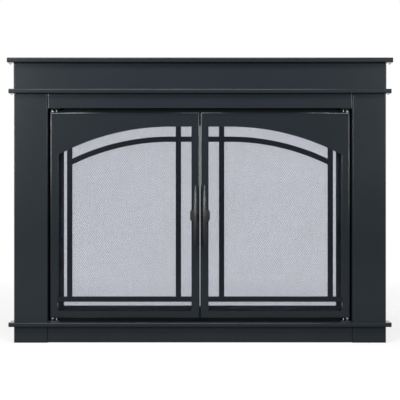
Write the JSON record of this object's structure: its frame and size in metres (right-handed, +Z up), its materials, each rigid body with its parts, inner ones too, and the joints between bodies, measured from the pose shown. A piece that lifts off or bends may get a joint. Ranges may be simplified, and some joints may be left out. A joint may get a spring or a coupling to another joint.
{
  "type": "fireplace glass door",
  "caption": "Steel fireplace front with hinged arched glass doors, prairie grilles and folding-out mesh gates behind them.",
  "frame": {"origin": "middle of the front at hearth level, in the plane of the fireplace surround that the front rests against", "axes": "+X to the viewer's right across the front, +Y into the fireplace, +Z up"},
  "size_m": [1.141, 0.156, 0.845],
  "materials": {
    "powder_coat": "satin charcoal-black powder coat",
    "zinc_steel": "zinc plated",
    "bush_metal": "plated sintered steel",
    "clear_glass": "clear tempered",
    "mesh_wire": "satin black woven wire",
    "magnet_case": "matte black"
  },
  "bodies": {
    "front": {"left_column": "powder_coat", "right_column": "powder_coat", "header_panel": "powder_coat", "lower_header": "powder_coat", "top_shelf": "powder_coat", "upper_ledge": "powder_coat", "lower_ledge": "powder_coat", "kick_rail": "powder_coat", "left_jamb": "powder_coat", "right_jamb": "powder_coat", "head_stop": "powder_coat", "sill_stop": "powder_coat", "frame_screws": "zinc_steel", "lower_hinge_plates": "zinc_steel", "upper_hinge_plates": "zinc_steel", "hinge_plate_screws": "zinc_steel", "door_pivot_pins": "zinc_steel", "side_screws": "zinc_steel", "gate_pivot_brackets": "powder_coat", "gate_bracket_rivets": "zinc_steel", "gate_pivot_pins": "zinc_steel", "door_magnets": "magnet_case", "gate_magnets": "zinc_steel", "stop_screws": "zinc_steel", "lintel_brackets": "zinc_steel", "lintel_clamp_bolts": "zinc_steel", "floor_brackets": "zinc_steel"},
    "left_door": {"left_door_frame": "powder_coat", "left_grille": "powder_coat", "left_glass": "clear_glass", "left_glass_clips": "zinc_steel", "left_clip_screws": "zinc_steel", "left_handle_plate": "powder_coat", "left_handle_bar": "powder_coat", "left_handle_screw": "zinc_steel", "left_door_bushes": "bush_metal", "left_door_strike": "zinc_steel"},
    "right_door": {"right_door_frame": "powder_coat", "right_grille": "powder_coat", "right_glass": "clear_glass", "right_glass_clips": "zinc_steel", "right_clip_screws": "zinc_steel", "right_handle_plate": "powder_coat", "right_handle_bar": "powder_coat", "right_handle_screw": "zinc_steel", "right_door_bushes": "bush_metal", "right_door_strike": "zinc_steel"},
    "left_gate": {"left_gate_frame": "powder_coat", "left_mesh": "mesh_wire", "left_mesh_retainer": "powder_coat", "left_gate_knob": "powder_coat", "left_gate_bushes": "bush_metal"},
    "right_gate": {"right_gate_frame": "powder_coat", "right_mesh": "mesh_wire", "right_mesh_retainer": "powder_coat", "right_gate_knob": "powder_coat", "right_gate_bushes": "bush_metal"}
  },
  "joints": [
    {"name": "left_door_hinge", "type": "hinge", "parent": "front", "child": "left_door", "pos_m": [-0.4405, -0.026, 0.071], "axis": [0, 0, -1], "range_deg": [0, 100]},
    {"name": "right_door_hinge", "type": "hinge", "parent": "front", "child": "right_door", "pos_m": [0.4405, -0.026, 0.071], "axis": [0, 0, 1], "range_deg": [0, 100]},
    {"name": "left_gate_hinge", "type": "hinge", "parent": "front", "child": "left_gate", "pos_m": [-0.4181, -0.013, 0.0886], "axis": [0, 0, -1], "range_deg": [0, 85]},
    {"name": "right_gate_hinge", "type": "hinge", "parent": "front", "child": "right_gate", "pos_m": [0.4181, -0.013, 0.0886], "axis": [0, 0, 1], "range_deg": [0, 85]}
  ],
  "couplings": [
    {"joint": "left_gate_hinge", "follows": "left_door_hinge", "ratio": 0.85},
    {"joint": "right_gate_hinge", "follows": "right_door_hinge", "ratio": 0.85}
  ]
}
